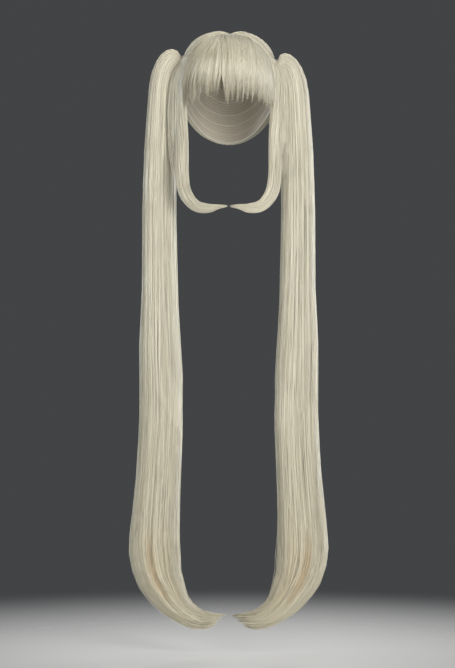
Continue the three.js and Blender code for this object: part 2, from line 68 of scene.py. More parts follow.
view = bpy.data.objects.new("view", bpy.data.cameras.new("view"))
view.data.sensor_width = SENSOR_MM
view.data.lens = SENSOR_MM * CAMERA_DISTANCE / (FRAME_PIXELS[1] * PIXEL)
view.location = (
    (FRAME_PIXELS[0] / 2 - CROWN_PIXEL[0]) * PIXEL,
    -CAMERA_DISTANCE,
    (CROWN_PIXEL[1] - FRAME_PIXELS[1] / 2) * PIXEL,
)
view.rotation_euler = (math.pi / 2, 0, 0)
bpy.context.scene.collection.objects.link(view)
bpy.context.scene.camera = view
bpy.context.scene.view_settings.view_transform = "Standard"


class Wire:
    """An output of a shader node. Python's operators join wires and numbers through Math nodes."""

    def __init__(self, finish, socket):
        self.finish = finish
        self.socket = socket

    def maths(self, operation, first, second):
        return self.finish.node("ShaderNodeMath", {"operation": operation}, {0: first, 1: second})

    def __add__(self, other):
        return self.maths("ADD", self, other)

    def __radd__(self, other):
        return self.maths("ADD", other, self)

    def __sub__(self, other):
        return self.maths("SUBTRACT", self, other)

    def __rmul__(self, other):
        return self.maths("MULTIPLY", other, self)


class Finish:
    """A material whose nodes are made by one method."""

    def __init__(self, name):
        self.material = bpy.data.materials.new(name)
        self.material.use_nodes = True
        self.tree = self.material.node_tree
        self.tree.nodes.clear()

    def node(self, kind, settings=None, inputs=None, output=0):
        node = self.tree.nodes.new(kind)
        for name, value in (settings or {}).items():
            setattr(node, name, value)
        for name, value in (inputs or {}).items():
            if isinstance(value, Wire):
                self.tree.links.new(value.socket, node.inputs[name])
            else:
                node.inputs[name].default_value = value
        return Wire(self, node.outputs[output] if len(node.outputs) else None)

    def blend(self, share, first, second):
        inputs = {0: share, 6: first, 7: second}
        return self.node("ShaderNodeMix", {"data_type": "RGBA"}, inputs, output=2)

    def stretched(self, vector, size):
        scale = tuple(1 / length for length in size)
        return self.node("ShaderNodeVectorMath", {"operation": "MULTIPLY"}, {0: vector, 1: scale})

    def noise(self, vector, size, detail=2.0):
        inputs = {"Vector": self.stretched(vector, size), "Scale": 1.0, "Detail": detail}
        return self.node("ShaderNodeTexNoise", None, inputs)

    def surface(self, **sockets):
        inputs = {name.replace("_", " "): value for name, value in sockets.items()}
        shader = self.node("ShaderNodeBsdfPrincipled", None, inputs)
        self.node("ShaderNodeOutputMaterial", None, {"Surface": shader})
        return self.material


def softbox(name, place, aim, width, height, power, colour):
    lamp = bpy.data.lights.new(name, "AREA")
    lamp.shape = "RECTANGLE"
    lamp.size = width
    lamp.size_y = height
    lamp.energy = power
    lamp.color = colour
    lamp_object = bpy.data.objects.new(name, lamp)
    lamp_object.location = place
    turn = (Vector(aim) - Vector(place)).to_track_quat("-Z", "Y")
    lamp_object.rotation_euler = turn.to_euler()
    bpy.context.scene.collection.objects.link(lamp_object)


softbox("key", (1.7, -3.2, 0.1), (0, 0, -0.4), 1.6, 2.6, 102, (1, 0.985, 0.94))
softbox("fill", (-1.9, -3.0, 0.1), (0, 0, -0.35), 1.6, 1.8, 25, (1, 0.985, 0.96))
softbox("brow", (0.35, -2.0, 0.95), (0, -0.08, -0.08), 0.7, 0.25, 8, (1, 0.975, 0.92))
softbox("top", (0, 0.3, 1.9), (0, 0, 0), 1.2, 1.2, 7, (1, 1, 1))
softbox("rim_left", (-2.0, 0.35, -0.75), (0, 0, -0.7), 0.5, 1.4, 20, (0.8, 0.89, 1))
softbox("rim_right", (1.6, 1.3, -0.55), (0, 0, -0.55), 0.4, 1.8, 28, (0.88, 0.93, 1))
softbox("back", (0.2, 3.0, 0.9), (0, 0, -0.3), 1.4, 1.4, 22, (1, 0.98, 0.95))

surround = bpy.data.worlds.new("surround")
surround.use_nodes = True
surround.node_tree.nodes["Background"].inputs["Color"].default_value = SURROUND
bpy.context.scene.world = surround

floor_finish = Finish("floor_paint")
floor_place = floor_finish.node("ShaderNodeTexCoord", output=3)
from_centre = floor_finish.node("ShaderNodeVectorMath", {"operation": "LENGTH"}, {0: floor_place}, output=1)
fade = floor_finish.node(
    "ShaderNodeMapRange",
    {"interpolation_type": "SMOOTHSTEP"},
    {"Value": from_centre, 1: FLOOR_FADE, 2: FLOOR_RADIUS, 3: 1.0, 4: 0.0},
)
bm = bmesh.new()
bmesh.ops.create_circle(bm, cap_ends=True, radius=FLOOR_RADIUS, segments=64)
bmesh.ops.translate(bm, verts=bm.verts, vec=(0, 0, cad_bounds[0][2] - FLOOR_BELOW))
floor_mesh = bpy.data.meshes.new("floor")
bm.to_mesh(floor_mesh)
bm.free()
floor = bpy.data.objects.new("floor", floor_mesh)
floor_mesh.materials.append(
    floor_finish.surface(
        Base_Color=(0.88, 0.87, 0.85, 1),
        Roughness=0.8,
        Alpha=fade,
        Emission_Color=(1, 0.99, 0.97, 1),
        Emission_Strength=0.62,
    )
)
bpy.context.scene.collection.objects.link(floor)

# Net cap: a thin stretch net shaped like the head, with rows of machine-sewn wefts round its inside and a
# soft elastic band bound round its edge. It shows below the fringe and from below.
HALF_BREADTH = 76 * MM
HEAD_FRONT = 93 * MM
HEAD_BACK = 98 * MM
HEAD_CROWN = 93 * MM
HEAD_LOWER = 120 * MM
SQUARENESS = 2.4
CAP_WALL = 1.5 * MM
NAPE_DROP = 172 * MM
WEFT_ROWS = 13
WEFT_HEIGHT = 2.4 * MM
WEFT_DEPTH = 0.7 * MM
BAND_HEIGHT = 3.4 * MM
BAND_DEPTH = 1.2 * MM
CAP_EDGE = [
    {"azimuth": -32, "drop": 0.37},
    {"azimuth": 0, "drop": 0.34},
    {"azimuth": 32, "drop": 0.37},
    {"azimuth": 56, "drop": 0.5},
    {"azimuth": 73, "drop": 0.66},
    {"azimuth": 92, "drop": 0.6},
    {"azimuth": 116, "drop": 0.74},
    {"azimuth": 146, "drop": 0.93},
    {"azimuth": 180, "drop": 1},
    {"azimuth": 214, "drop": 0.93},
]


def read_table(rows, place, column, key=None):
    """Smooth curve through a column, read at places that are given in the key column or in rows."""
    value = np.array([row[column] for row in rows], float)
    where = np.array([row[key] for row in rows], float) if key else np.arange(len(rows), dtype=float)
    slope = np.empty_like(value)
    slope[1:-1] = (value[2:] - value[:-2]) / (where[2:] - where[:-2])
    slope[0] = (value[1] - value[0]) / (where[1] - where[0])
    slope[-1] = (value[-1] - value[-2]) / (where[-1] - where[-2])
    i = np.clip(np.searchsorted(where, place) - 1, 0, len(where) - 2)
    span = where[i + 1] - where[i]
    rise = value[i + 1] - value[i]
    t = np.clip((place - where[i]) / span, 0, 1)
    bend = (1 - t) * (slope[i] * span - rise) - t * (slope[i + 1] * span - rise)
    return value[i] + rise * t + t * (1 - t) * bend


def unit(vectors):
    return vectors / np.maximum(np.linalg.norm(vectors, axis=-1, keepdims=True), 1e-12)


def on_head(direction, lift):
    """Points of the head form in directions from its centre, raised by lift."""
    power = 2 / SQUARENESS
    flat = np.hypot(direction[..., 0], direction[..., 1])
    spread = flat**power / np.maximum(flat, 1e-9)
    length = np.where(direction[..., 1] < 0, HEAD_FRONT, HEAD_BACK)
    height = np.where(direction[..., 2] > 0, HEAD_CROWN, HEAD_LOWER)
    x = direction[..., 0] * spread
    y = direction[..., 1] * spread
    z = np.sign(direction[..., 2]) * np.abs(direction[..., 2]) ** power
    level = np.hypot(x, y) ** (SQUARENESS - 2)
    steep = np.sign(z) * np.abs(z) ** (SQUARENESS - 1)
    normal = unit(np.stack([level * x / HALF_BREADTH, level * y / length, steep / height], -1))
    point = np.stack([x * HALF_BREADTH, y * length, z * height - HEAD_CROWN], -1)
    return point + normal * np.asarray(lift)[..., None]


def from_crown(azimuth, polar, sign=1):
    """Directions from their bearing round the head, 0 at the forehead, and their angle from the crown."""
    a, p = np.radians(azimuth), np.radians(polar)
    return np.stack([sign * np.sin(a) * np.sin(p), -np.cos(a) * np.sin(p), np.cos(p) + 0 * a], -1)


def polar_at_drop(drop):
    rise = (HEAD_CROWN - drop) / np.where(drop < HEAD_CROWN, HEAD_CROWN, HEAD_LOWER)
    return np.degrees(np.arccos(np.sign(rise) * np.abs(rise) ** (SQUARENESS / 2)))


def cap_edge_polar(azimuth):
    fold = np.where(azimuth > 180, 360 - azimuth, azimuth)
    return polar_at_drop(NAPE_DROP * read_table(CAP_EDGE, fold, "drop", "azimuth"))


def wrapped(name, form, columns, rows, girth, length):
    """Mesh of a flat grid laid on a form by its two shares. Its seams and poles are welded, and its flow
    map holds metres round the form and along it."""
    bm = bmesh.new()
    flow = bm.loops.layers.uv.new("flow")
    bmesh.ops.create_grid(bm, x_segments=columns, y_segments=rows, size=0.5, calc_uvs=True)
    for face in bm.faces:
        for loop in face.loops:
            loop[flow].uv = (loop[flow].uv[0] * girth, loop[flow].uv[1] * length)
    shares = np.array([vert.co[:2] for vert in bm.verts]) + 0.5
    for vert, place in zip(bm.verts, form(shares[:, 0], shares[:, 1])):
        vert.co = place
    bmesh.ops.remove_doubles(bm, verts=bm.verts, dist=0.01 * MM)
    bmesh.ops.recalc_face_normals(bm, faces=bm.faces)
    mesh = bpy.data.meshes.new(name)
    bm.to_mesh(mesh)
    bm.free()
    mesh.shade_smooth()
    return mesh


def worn(name, mesh, finish, slot, *nodes):
    """Object of one piece of the wig, which takes the place of plain solids."""
    piece = bpy.data.objects.new(name, mesh)
    mesh.materials.append(finish)
    bpy.context.scene.collection.objects.link(piece)
    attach(piece, "root")
    if nodes:
        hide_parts(*nodes)
    return piece


def net_finish():
    finish = Finish("cap_net")
    flow = finish.node("ShaderNodeUVMap", {"uv_map": "flow"})
    meshes = finish.node(
        "ShaderNodeTexVoronoi",
        {"feature": "DISTANCE_TO_EDGE"},
        {"Vector": finish.stretched(flow, (2.2 * MM, 2.2 * MM, 1)), "Scale": 1.0, "Randomness": 0.35},
    )
    threads = finish.node("ShaderNodeMapRange", None, {"Value": meshes, 1: 0.04, 2: 0.2, 3: 1.0, 4: 0.0})
    shade = finish.noise(flow, (30 * MM, 30 * MM, 1))
    cloth = finish.blend(shade, (0.5, 0.44, 0.36, 1), (0.6, 0.54, 0.45, 1))
    colour = finish.blend(threads, cloth, (0.82, 0.77, 0.68, 1))
    bump = finish.node("ShaderNodeBump", None, {"Height": threads, "Strength": 0.6, "Distance": 0.4 * MM})
    return finish.surface(Base_Color=colour, Roughness=0.85, Normal=bump, Sheen_Weight=0.2)


def weft_finish():
    finish = Finish("weft_stitching")
    flow = finish.node("ShaderNodeUVMap", {"uv_map": "flow"})
    stitches = finish.node(
        "ShaderNodeTexWave",
        {"wave_type": "BANDS", "bands_direction": "X"},
        {"Vector": finish.stretched(flow, (3 * MM, 3 * MM, 1)), "Scale": 0.5, "Distortion": 0.8},
    )
    colour = finish.blend(stitches, (0.66, 0.6, 0.5, 1), (0.9, 0.87, 0.78, 1))
    bump = finish.node("ShaderNodeBump", None, {"Height": stitches, "Strength": 0.5, "Distance": 0.4 * MM})
    return finish.surface(Base_Color=colour, Roughness=0.7, Normal=bump, Sheen_Weight=0.2)


def cap_dome(around, down):
    azimuth = 360 * around
    return on_head(from_crown(azimuth, cap_edge_polar(azimuth) * down), 0 * down)


def cap_ring(share, height, depth, lift):
    """Form of a flat band round the cap at a share of the way from the crown to the edge."""

    def form(around, section):
        azimuth = 360 * around
        edge = cap_edge_polar(azimuth)
        turn = 2 * np.pi * section
        polar = edge * share + np.degrees(height / 2 * np.sin(turn) / HEAD_FRONT)
        return on_head(from_crown(azimuth, polar), lift + depth * np.cos(turn))

    return form


cap_girth = math.pi * (2 * HALF_BREADTH + HEAD_FRONT + HEAD_BACK) / 2
cap_mesh = wrapped("net_cap", cap_dome, 96, 40, cap_girth, NAPE_DROP)
cap = worn("net_cap_cloth", cap_mesh, net_finish(), "net", "net_cap")
wall = cap.modifiers.new("wall", "SOLIDIFY")
wall.thickness = CAP_WALL
wall.offset = 1

weft_look = weft_finish()
for row in range(WEFT_ROWS):
    share = (row + 1.4) / (WEFT_ROWS + 1.4)
    form = cap_ring(share, WEFT_HEIGHT, WEFT_DEPTH, -WEFT_DEPTH / 3)
    mesh = wrapped("weft", form, 96, 6, cap_girth, 2 * WEFT_HEIGHT)
    worn(f"weft_{row + 1}", mesh, weft_look, "net")
band_form = cap_ring(1, BAND_HEIGHT, BAND_DEPTH, CAP_WALL / 2)
band_mesh = wrapped("edge_band", band_form, 120, 8, cap_girth, 2 * BAND_HEIGHT)
worn("edge_band", band_mesh, weft_look, "net")

# Combed hair: straight pale fibre with a satin gloss, sewn to the cap on both sides of the parting and
# round the hairline, and drawn smoothly over the cap to the tie above each ear. Each side is a body of
# hair, flat locks over it and single strands on top.
SEAT_GAP = 0.4 * MM
CROWN_HAIR = 10.5 * MM
PARTING_GAP = 0.8 * MM
PARTING_SHIFT = 2.5 * MM
EAR_FRONT_AZIMUTH = 76
FRINGE_ROOT_PITCH = 15
TIE_BACK = 5 * MM
NUDGE = 0.5 * MM
PARTING_SHARE = 0.4
HAIRLINE_SHARE = 0.78
CROWN_SWELL = [
    {"at": 0, "depth": 0.42},
    {"at": 0.12, "depth": 0.9},
    {"at": 0.3, "depth": 0.97},
    {"at": 0.7, "depth": 1.06},
    {"at": 1, "depth": 0.76},
]
SIDES = [
    {"name": "left", "sign": -1, "tie_drop": 47 * MM, "out": 37.5 * MM, "lift": 0.7, "seed": 11},
    {"name": "right", "sign": 1, "tie_drop": 54 * MM, "out": 36 * MM, "lift": 0.9, "seed": 23},
]


def hair_finish(name, pale, deep, warm):
    """Fine straight fibre: streaks and gloss run along the flow of the hair, and each lock has a tone. On
    some pieces that tone also holds painted highlight and painted shade.
    """
    finish = Finish(name)
    flow = finish.node("ShaderNodeUVMap", {"uv_map": "flow"})
    tone_and_painted_light = finish.node("ShaderNodeAttribute", {"attribute_name": "tone_and_painted_light"}, output=2)
    warmth = finish.node("ShaderNodeAttribute", {"attribute_name": "warmth"}, output=2)
    clumps = finish.noise(flow, (3.4 * MM, 320 * MM, 1))
    fibres = finish.noise(flow, (0.5 * MM, 120 * MM, 1), detail=3.0)
    light = 0.62 + 0.42 * tone_and_painted_light + 0.6 * (clumps - 0.5) + 0.5 * (fibres - 0.5)
    colour = finish.blend(warmth, finish.blend(light, deep, pale), warm)
    bump = finish.node(
        "ShaderNodeBump", None, {"Height": clumps + 0.5 * fibres, "Strength": 0.3, "Distance": 0.4 * MM}
    )
    return finish.surface(
        Base_Color=colour,
        Roughness=0.34 + 0.14 * clumps,
        Normal=bump,
        IOR=1.55,
        Specular_IOR_Level=0.5,
        Sheen_Weight=0.12,
    )


def between(start, end, share):
    """Directions part of the way along the great circles between others."""
    turn = np.arccos(np.clip((start * end).sum(-1), -1, 1))[..., None]
    share = np.asarray(share)[..., None]
    return (np.sin((1 - share) * turn) * start + np.sin(share * turn) * end) / np.sin(turn)


def combed(name, lay, across, along, rise, girth, flatness, tone_and_painted_light, warmth, sides=4):
    """Joined mesh of pointed locks that follow a form. Each lock has a row of places across and along the
    form and a rise over it, and half of its width there."""
    path = lay(across, along, rise)
    facing = lay(across, along, rise + NUDGE) - lay(across, along, rise - NUDGE)
    forward = np.gradient(path, axis=1)
    sideways = unit(np.cross(forward, facing))
    outwards = unit(np.cross(sideways, forward))
    turn = 2 * np.pi * np.arange(sides) / sides
    wide = (girth[..., None] * np.cos(turn))[..., None]
    deep = (girth[..., None] * flatness * np.sin(turn))[..., None]
    rings = path[:, :, None] + sideways[:, :, None] * wide + outwards[:, :, None] * deep
    count, steps = path.shape[:2]
    corner = np.arange(count * steps * sides).reshape(count, steps, sides)
    here, there = corner[:, :-1], corner[:, 1:]
    quads = np.stack([here, there, np.roll(there, -1, 2), np.roll(here, -1, 2)], -1).reshape(-1, 4)
    first, last = corner[:, 0], corner[:, -1, ::-1]
    if sides == 3:
        faces = np.concatenate([quads[:, [0, 1, 2]], quads[:, [0, 2, 3]], first, last])
    else:
        faces = np.concatenate([quads, first, last])
    mesh = bpy.data.meshes.new(name)
    mesh.from_pydata(rings.reshape(-1, 3), [], faces)
    for label, value in (("tone_and_painted_light", tone_and_painted_light), ("warmth", warmth)):
        spread = np.broadcast_to(value[..., None], (count, steps, sides)).ravel()
        mesh.attributes.new(label, "FLOAT", "POINT").data.foreach_set("value", spread)
    step = np.linalg.norm(np.diff(path, axis=1), axis=-1)
    length = np.concatenate([np.zeros((count, 1)), np.cumsum(step, axis=1)], axis=1)
    offset = 17 * MM * np.arange(count)[:, None, None]
    u = offset + girth[..., None] * np.cos(turn)
    v = np.broadcast_to(length[..., None], u.shape)
    flow = np.stack([u, v], -1).reshape(-1, 2)[faces.ravel()]
    mesh.uv_layers.new(name="flow").data.foreach_set("uv", flow.ravel())
    mesh.shade_smooth()
    return mesh


def stations(count, steps, end=1):
    """Even places along each of a number of locks."""
    return np.linspace(0, end, steps)[None, :] * np.ones((count, 1))


def wander(rng, count, at, size):
    """Slow waves along each lock."""
    phase = rng.uniform(0, 2 * np.pi, (2, count, 1))
    pace = rng.uniform(0.5, 1.6, (2, count, 1)) * np.array([1, 2.3])[:, None, None]
    return size * (np.sin(2 * np.pi * pace * at + phase) * np.array([1, 0.5])[:, None, None]).sum(0)


def spacing(lay, across, along, rise, step):
    """Distance on the form between two places that lie a small step apart across it."""
    gap = lay(across + step, along, rise) - lay(across - step, along, rise)
    return np.linalg.norm(gap, axis=-1) / 2


def pointed(at, blunt=0.25, tip=0.75):
    """Share of a lock's full width along it: thin at its root and pointed at its end."""
    root = blunt + (1 - blunt) * np.clip(at / 0.12, 0, 1)
    end = np.clip((1 - at) / (1 - tip), 0, 1) ** 0.8
    return root * (0.06 + 0.94 * end)


def gather_direction(side):
    polar = polar_at_drop(side["tie_drop"])
    reach = HEAD_BACK * np.sin(np.radians(polar)) ** (2 / SQUARENESS)
    return from_crown(90 + np.degrees(np.arcsin(TIE_BACK / reach)), polar, side["sign"])


def crown_outline(side, share):
    """Direction at a share of the way round one side's hair: back along the parting, round the hairline
    to the ear and up behind the fringe."""
    nape = float(cap_edge_polar(np.array(180.0)))
    pitch = -FRINGE_ROOT_PITCH + (nape + FRINGE_ROOT_PITCH) * np.clip(share / PARTING_SHARE, 0, 1)
    parting = from_crown(180 + 0 * pitch, pitch)
    back = np.clip((share - PARTING_SHARE) / (HAIRLINE_SHARE - PARTING_SHARE), 0, 1)
    azimuth = 180 + (EAR_FRONT_AZIMUTH - 180) * back
    hairline = from_crown(azimuth, cap_edge_polar(azimuth), side["sign"])
    ear_azimuth = np.array(float(EAR_FRONT_AZIMUTH))
    ear = from_crown(ear_azimuth, cap_edge_polar(ear_azimuth), side["sign"])
    start = from_crown(np.array(180.0), np.array(-float(FRINGE_ROOT_PITCH)))
    front = between(ear, start, np.clip((share - HAIRLINE_SHARE) / (1 - HAIRLINE_SHARE), 0, 1))
    share = share[..., None]
    return np.where(share < PARTING_SHARE, parting, np.where(share < HAIRLINE_SHARE, hairline, front))


def parting_shift(direction):
    """The parting lies a little right of the middle."""
    return PARTING_SHIFT * np.exp(-((direction[..., 0] / 0.3) ** 2))


def crown_form(side):
    gather = gather_direction(side)

    def lay(across, at, rise):
        swell = CROWN_HAIR * read_table(CROWN_SWELL, at, "depth", "at")
        direction = between(crown_outline(side, np.mod(across, 1)), gather, np.clip(at, 0, 0.985))
        point = on_head(direction, CAP_WALL + SEAT_GAP + swell + rise)
        point[..., 0] += side["sign"] * PARTING_GAP / 2 + parting_shift(direction)
        return point

    return lay


hair_look = hair_finish(
    "hair_fibre", pale=(0.868, 0.83, 0.695, 1), deep=(0.595, 0.55, 0.415, 1), warm=(0.57, 0.455, 0.29, 1)
)
# A darker copy of the hair for the bodies under the locks: painted shade where they show between the locks.
painted_shade_look = hair_finish(
    "hair_under_painted_shade", pale=(0.68, 0.635, 0.51, 1), deep=(0.45, 0.415, 0.31, 1), warm=(0.5, 0.42, 0.29, 1)
)

CROWN_LOCKS = 210
CROWN_STRANDS = 420
BORDER_LOCKS = 46
BORDER_STRANDS = 90
BORDER_SHARE = 0.87
BORDER_REACH = 0.64
BORDER_PITCH = 12
ROOT_SINK = 1.4 * MM
STRAND_SINK = 1.3 * MM


def crown_border_form(side):
    """Form of the front edge of one side's hair, which leaves the front of the parting and runs along the
    fringe's roots to the tie. Across runs from the hair behind it, 0, to the edge, 1."""
    gather = gather_direction(side)
    ear_azimuth = np.array(float(EAR_FRONT_AZIMUTH))
    ear = from_crown(ear_azimuth, cap_edge_polar(ear_azimuth), side["sign"])

    def lay(across, at, rise):
        pitch = -FRINGE_ROOT_PITCH + BORDER_PITCH * (1 - across)
        start = from_crown(180 + 0 * pitch, pitch)
        at = np.clip(at, 0.002, 0.985)
        near = across * np.sin(np.pi * at) ** 0.7
        direct = between(start, gather, at)
        direction = unit(direct + (between(start, ear, at * BORDER_REACH) - direct) * near[..., None])
        edge = read_table(CROWN_SWELL, 0.4 * (1 - near), "depth", "at")
        swell = CROWN_HAIR * np.minimum(edge, read_table(CROWN_SWELL, at, "depth", "at"))
        point = on_head(direction, CAP_WALL + SEAT_GAP + swell + rise)
        point[..., 0] += side["sign"] * PARTING_GAP / 2 + parting_shift(direction)
        return point

    return lay


def at_roots(at):
    """1 at the roots, where the hair is drawn flat, and 0 from about the middle on."""
    return np.exp(-((at / 0.3) ** 2))


for side in SIDES:
    rng = np.random.default_rng(side["seed"])
    lay = crown_form(side)

    def crown_shell(around, section, lay=lay):
        """Closed body of hair: out over the top from the tie to the outline, and back below."""
        over = section < 0.5
        at = np.where(over, 1 - 2 * section, 2 * section - 1)
        swell = CROWN_HAIR * read_table(CROWN_SWELL, at, "depth", "at")
        return lay(around, at, np.where(over, -1.2 * MM, -swell + 0.2 * MM))

    body = wrapped("crown_body", crown_shell, 120, 40, cap_girth, 0.3)
    worn(f"crown_{side['name']}_body", body, painted_shade_look, "hair", f"crown_{side['name']}")

    border_lay = crown_border_form(side)
    layers = [
        {"part": "", "form": lay, "width": BORDER_SHARE, "locks": CROWN_LOCKS, "strands": CROWN_STRANDS},
        {"part": "_edge", "form": border_lay, "width": 1, "locks": BORDER_LOCKS, "strands": BORDER_STRANDS},
    ]
    for layer in layers:
        form, width, count = layer["form"], layer["width"], layer["locks"]
        at = stations(count, 15, 0.97)
        across = width * (np.arange(count) + rng.uniform(0.1, 0.9, count))[:, None] / count
        across = across + wander(rng, count, at, 0.0035) * np.sin(np.pi * at)
        rise = rng.uniform(-1.1, 0, (count, 1)) * MM + wander(rng, count, at, 0.15 * MM)
        rise = rise - ROOT_SINK * at_roots(at)
        gap = spacing(form, across, at, rise, 0.5 * width / count)
        girth = 2.3 * gap * pointed(at, blunt=0.8, tip=0.9) + 0.3 * MM
        tone_and_painted_light = rng.normal(0, 0.3, (count, 1)) + 0 * at
        warmth = np.clip(rng.normal(-0.1, 0.2, (count, 1)), 0, 0.4) + 0 * at
        locks = combed("crown_locks", form, across, at, rise, girth, 0.35, tone_and_painted_light, warmth)
        worn(f"crown_{side['name']}{layer['part']}_locks", locks, hair_look, "hair")

        count = layer["strands"]
        at = stations(count, 13, 0.98)
        across = rng.uniform(0, width, (count, 1)) + wander(rng, count, at, 0.006) * np.sin(np.pi * at)
        rise = rng.uniform(0.1, 0.9, (count, 1)) * MM * np.sin(np.pi * at)
        rise = rise - 0.1 * MM - STRAND_SINK * at_roots(at)
        girth = 0.32 * MM * pointed(at, blunt=0.5, tip=0.85)
        tone_and_painted_light = rng.normal(0.1, 0.4, (count, 1)) + 0 * at
        strands = combed("crown_strands", form, across, at, rise, girth, 1, tone_and_painted_light, 0 * at, sides=3)
        worn(f"crown_{side['name']}{layer['part']}_strands", strands, hair_look, "hair")

# Fringe: a full curtain of the same fibre, sewn behind the front end of the parting and combed forward and
# down over the forehead to a fine uneven edge. Its left third falls in separate swept locks, and one longer
# pointed lock hangs left of the middle.
FRINGE_HAIR = 5.5 * MM
FRINGE_DROP = 98 * MM
FRINGE_ROOT_HALF_ARC = 42
FRINGE_HALF_ARC = 56


def table(columns, *rows):
    """Rows of a table whose columns are named once."""
    return [dict(zip(columns.split(), row)) for row in rows]


FRINGE_EDGE = table(
    "place root tip drop parted",
    (-1.6, -1.3, -1.36, 1.15, 1),
    (-1.15, -0.85, -1.2, 1.15, 1),
    (-1, -0.68, -1.1, 1.1, 1),
    (-0.82, -0.5, -0.98, 1.02, 1),
    (-0.64, -0.38, -0.83, 0.97, 1),
    (-0.48, -0.3, -0.64, 0.92, 0.9),
    (-0.32, -0.24, -0.43, 0.87, 0.7),
    (-0.17, -0.17, -0.22, 0.89, 0.5),
    (-0.05, -0.08, -0.02, 1.04, 0.5),
    (0.1, 0.08, 0.12, 0.94, 0.3),
    (0.27, 0.25, 0.28, 0.96, 0.25),
    (0.44, 0.43, 0.44, 0.98, 0.2),
    (0.61, 0.61, 0.61, 1.01, 0.2),
    (0.79, 0.79, 0.79, 1.05, 0.2),
    (1, 1, 0.97, 1.1, 0.3),
    (1.15, 1.15, 1.1, 1.15, 0.3),
    (1.4, 1.4, 1.28, 1.15, 0.3),
)
FRINGE_STAND = [
    {"at": 0, "depth": 0.62},
    {"at": 0.25, "depth": 1.1},
    {"at": 0.6, "depth": 1.2},
    {"at": 0.86, "depth": 1.25},
    {"at": 1.08, "depth": 1.15},
]
FRINGE_SWEEP_LEFT = 0.6
FRINGE_SWEEP_RIGHT = 0.15
FRINGE_MIDDLE = -0.05
FRINGE_RIDGES = 21
FRINGE_LOCKS = 420
FRINGE_STRANDS = 1050
FRINGE_WISPS = 70
FRINGE_POINTS = 84
MIDDLE_REACH = 0.12
VALLEY_DEPTH = 2.2 * MM
# Painted shade: how much deeper the fringe's hair is painted in the valleys between its locks.
VALLEY_PAINTED_SHADE = 2.2


def ridges(across, at, count, seed):
    """Ridges of hair round a form, 1 on a ridge and 0 in a valley, of uneven widths that drift along it."""
    drift = 0.6 * np.sin(2 * np.pi * (2 * across + 0.13 * seed))
    drift = drift + 0.45 * np.sin(2 * np.pi * (5 * across + 0.37 * seed))
    drift = drift + 0.5 * np.sin(0.4 * at + 2 * np.pi * across) + 0.25 * np.sin(0.9 * at + 6 * np.pi * across)
    return np.abs(np.cos(np.pi * (count * across + drift))) ** 0.7


def fringe_row(across, column):
    return read_table(FRINGE_EDGE, across, column, "place")


def fringe_lay(across, at, rise):
    """Form of the curtain: across from -1.5 to 1.4 over its width and along from its roots to its edge.
    The hair leaves the parting sideways, on the left in a long slant, and then turns down."""
    sweep = np.where(across < 0, FRINGE_SWEEP_LEFT, FRINGE_SWEEP_RIGHT)
    across = across * (1 - sweep * np.clip(1 - at, 0, 1))
    root = fringe_row(across, "root")
    side = np.radians(FRINGE_ROOT_HALF_ARC * root)
    pitch = np.radians(FRINGE_ROOT_PITCH * (1 + np.abs(root) / 2))
    root = np.stack([np.sin(side), -np.cos(side) * np.sin(pitch), np.cos(side) * np.cos(pitch)], -1)
    polar = polar_at_drop(FRINGE_DROP * fringe_row(across, "drop"))
    tip = from_crown(FRINGE_HALF_ARC * fringe_row(across, "tip"), polar)
    stand = FRINGE_HAIR * read_table(FRINGE_STAND, at, "depth", "at")
    return on_head(between(root, tip, at), CAP_WALL + SEAT_GAP + stand + rise)


def fringe_ridge(across, at):
    """How far the hair stands at the ridge of its lock, 1, or in the parting between two, 0."""
    return 1 - fringe_row(across, "parted") * (1 - ridges(across / 2.4 + 0.5, 5 * at, FRINGE_RIDGES, 5))


def nearest_point(across):
    return np.abs(across[..., None] - point_middles).argmin(-1)


def fringe_combed(across, at, pull):
    """Places across, drawn towards the middle of their point near the edge, most in the longer lock."""
    middle = point_middles[nearest_point(across)]
    pull = np.where(middle == FRINGE_MIDDLE, 0.9, pull)
    return across + (middle - across) * pull * np.clip((at - 0.88) / 0.24, 0, 1)


def fringe_end(across):
    """Where the hair ends: alike for the hair of one point, earlier between two locks and off the middle
    of the longer lock."""
    point = nearest_point(across)
    off = np.where(point_middles[point] == FRINGE_MIDDLE, np.abs(across - FRINGE_MIDDLE), 0)
    return 1.15 - point_cuts[point] - off - 0.04 * (1 - fringe_ridge(across, 1.0))


def fringe_tone_and_painted_light(across, at):
    """Painted highlight makes the hair palest where it turns over the brow. It is deeper in the parted locks,
    and painted shade deepens it between them.
    """
    # Painted highlight band where the hair turns over the brow, and deeper above and below it.
    painted_highlight = 1.15 * np.exp(-(((at - 0.8) / 0.16) ** 2)) - 0.45
    left = 0.6 * fringe_row(across, "parted") ** 2 * np.clip((at - 0.3) / 0.3, 0, 1)
    return painted_highlight - left - VALLEY_PAINTED_SHADE * (1 - fringe_ridge(across, at))


def fringe_shell(around, down):
    """Closed curtain under the locks, its front sunk where they part, and its back on the cap."""
    turn = 2 * np.pi * around
    across = 1.4 * np.cos(turn) - 0.1
    at = 0.91 * down
    over = np.abs(np.sin(turn)) ** 0.4 * np.clip(np.minimum(down, 1 - down) / 0.08, 0, 1) ** 0.5
    stand = FRINGE_HAIR * read_table(FRINGE_STAND, at, "depth", "at")
    front = -(0.9 + 0.8 * fringe_row(across, "parted")) * MM
    back = -stand + 0.2 * MM
    return fringe_lay(across, at, (front + back) / 2 + (front - back) / 2 * np.sign(np.sin(turn)) * over)


rng = np.random.default_rng(37)
point_middles = np.sort(rng.uniform(-1.5, 1.35, FRINGE_POINTS))
point_cuts = rng.uniform(0, 0.08, FRINGE_POINTS)
in_middle = np.abs(point_middles - FRINGE_MIDDLE) < MIDDLE_REACH
point_middles[in_middle] = FRINGE_MIDDLE
point_cuts[in_middle] = 0.02
body = wrapped("fringe_body", fringe_shell, 120, 40, 0.36, FRINGE_DROP)
worn("fringe_body", body, painted_shade_look, "hair", "fringe")

